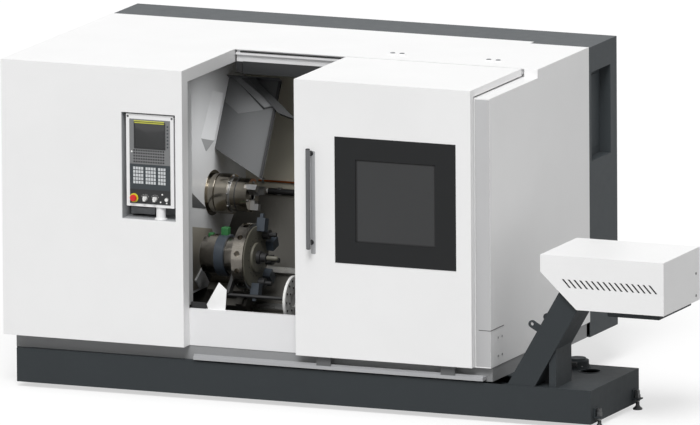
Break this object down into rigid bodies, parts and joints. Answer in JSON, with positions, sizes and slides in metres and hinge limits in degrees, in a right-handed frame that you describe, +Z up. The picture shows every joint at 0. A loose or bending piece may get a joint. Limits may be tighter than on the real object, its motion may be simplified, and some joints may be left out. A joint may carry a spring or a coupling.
{
  "type": "cnc turning lathe",
  "caption": "Enclosed slant-bed turning lathe with a sliding front door, tool turret, opposed spindles, swivelling control panel and a rising chip conveyor.",
  "frame": {"origin": "middle of the footprint, on the floor", "axes": "+X along the front to the operator's right, +Y from the front to the back, +Z up"},
  "size_m": [4.208, 2.08, 1.979],
  "materials": {
    "white_paint": "fine textured powder coat",
    "dark_paint": "satin dark grey paint",
    "grey_paint": "satin mid grey paint",
    "splash_grey": "smooth grey sheet",
    "casting": "painted casting",
    "steel": "ground steel",
    "chrome": "polished steel",
    "tool_black": "blackened steel",
    "tool_slate": "dark coated steel",
    "black_plastic": "matt black",
    "window_glass": "dark tinted safety glass",
    "display_grey": "grey moulded bezel",
    "slate_plastic": "slate membrane plate",
    "key_plastic": "light grey keys",
    "white_plastic": "white moulding",
    "red_plastic": "red mushroom head",
    "yellow_plastic": "yellow ring"
  },
  "bodies": {
    "frame": {"coolant_tank": "dark_paint", "tank_foot_brackets": "dark_paint", "tank_feet": "tool_black", "coolant_pump": "dark_paint", "bed": "casting", "bed_feet": "tool_black", "plinth": "grey_paint", "upper_rails": "steel", "lower_rails": "steel", "left_cabinet": "white_paint", "rear_roof": "white_paint", "right_cabinet": "white_paint", "service_cover": "white_paint", "cover_screws": "steel", "apron": "white_paint", "door_top_rail": "steel", "door_lower_rail": "steel", "headstock_wall": "splash_grey", "splash_panel": "grey_paint", "rear_splash": "grey_paint", "rear_cabinet": "dark_paint", "roof_plugs": "black_plastic", "headstock": "casting", "spindle_bearings": "steel", "control_post": "white_paint", "conveyor_casing": "dark_paint", "conveyor_belt": "steel", "conveyor_gearmotor": "casting", "conveyor_hood": "white_paint", "conveyor_leg": "dark_paint"},
    "door": {"door_panel": "white_paint", "window_frame": "black_plastic", "window_glass": "window_glass", "handle_bar": "steel", "handle_mounts": "tool_black", "door_guides": "tool_black"},
    "control_panel": {"control_box": "white_paint", "display_unit": "display_grey", "key_panel": "slate_plastic", "panel_keys": "key_plastic", "switch_panel": "black_plastic", "estop_ring": "yellow_plastic"},
    "estop": {"estop_button": "red_plastic"},
    "mode_knob": {"knob_left": "white_plastic"},
    "feed_knob": {"knob_right": "white_plastic"},
    "start": {"start_button": "white_plastic"},
    "main_spindle": {"spindle": "steel", "chuck_body": "chrome"},
    "jaw_1": {"chuck_jaw_1": "steel"},
    "jaw_2": {"chuck_jaw_2": "steel"},
    "jaw_3": {"chuck_jaw_3": "steel"},
    "carriage": {"saddle": "casting"},
    "tool_slide": {"cross_slide": "casting", "turret_housing": "casting"},
    "turret": {"turret_disc": "steel", "tool_blocks": "tool_slate", "boring_bars": "tool_black"},
    "sub_slide": {"sub_headstock": "casting"},
    "opposed_spindle": {"sub_spindle": "chrome"},
    "belt_drive": {"conveyor_shaft": "steel"}
  },
  "joints": [
    {"name": "door_slide", "type": "slide", "parent": "frame", "child": "door", "axis": [1, 0, 0], "range_m": [-0.714, 0]},
    {"name": "panel_swivel", "type": "hinge", "parent": "frame", "child": "control_panel", "pos_m": [-1.099, -0.934, 1.143], "axis": [0, 0, 1], "range_deg": [0, 90]},
    {"name": "estop_press", "type": "slide", "parent": "control_panel", "child": "estop", "axis": [0, 1, 0], "range_m": [0, 0.005], "stiffness_N_per_m": 600},
    {"name": "mode_knob_turn", "type": "hinge", "parent": "control_panel", "child": "mode_knob", "pos_m": [-1.184, -0.97, 1.193], "axis": [0, 1, 0], "range_deg": [-60, 60]},
    {"name": "feed_knob_turn", "type": "hinge", "parent": "control_panel", "child": "feed_knob", "pos_m": [-1.12, -0.97, 1.193], "axis": [0, 1, 0], "range_deg": [-135, 135]},
    {"name": "start_press", "type": "slide", "parent": "control_panel", "child": "start", "axis": [0, 1, 0], "range_m": [0, 0.003], "stiffness_N_per_m": 400},
    {"name": "main_spindle_turn", "type": "hinge", "parent": "frame", "child": "main_spindle", "pos_m": [-0.839, -0.179, 1.096], "axis": [1, 0, 0], "continuous": true},
    {"name": "jaw_1_slide", "type": "slide", "parent": "main_spindle", "child": "jaw_1", "axis": [0, -0.7071, 0.7071], "range_m": [-0.005, 0.005]},
    {"name": "jaw_2_slide", "type": "slide", "parent": "main_spindle", "child": "jaw_2", "axis": [0, -0.2588, -0.9659], "range_m": [-0.005, 0.005]},
    {"name": "jaw_3_slide", "type": "slide", "parent": "main_spindle", "child": "jaw_3", "axis": [0, 0.9659, 0.2588], "range_m": [-0.005, 0.005]},
    {"name": "carriage_slide", "type": "slide", "parent": "frame", "child": "carriage", "axis": [1, 0, 0], "range_m": [0, 0.3]},
    {"name": "tool_slide_travel", "type": "slide", "parent": "carriage", "child": "tool_slide", "axis": [0, 0.7071, 0.7071], "range_m": [-0.04, 0.19]},
    {"name": "turret_index", "type": "hinge", "parent": "tool_slide", "child": "turret", "pos_m": [-0.739, -0.48659, 0.78841], "axis": [1, 0, 0], "continuous": true},
    {"name": "sub_spindle_slide", "type": "slide", "parent": "frame", "child": "sub_slide", "axis": [1, 0, 0], "range_m": [-0.5, 0]},
    {"name": "opposed_spindle_turn", "type": "hinge", "parent": "sub_slide", "child": "opposed_spindle", "pos_m": [0.241, -0.179, 1.096], "axis": [1, 0, 0], "continuous": true},
    {"name": "belt_drive_turn", "type": "hinge", "parent": "frame", "child": "belt_drive", "pos_m": [1.5637, -0.879, 0.88], "axis": [0, 1, 0], "continuous": true}
  ],
  "couplings": [
    {"joint": "jaw_2_slide", "follows": "jaw_1_slide", "ratio": 1},
    {"joint": "jaw_3_slide", "follows": "jaw_1_slide", "ratio": 1}
  ]
}
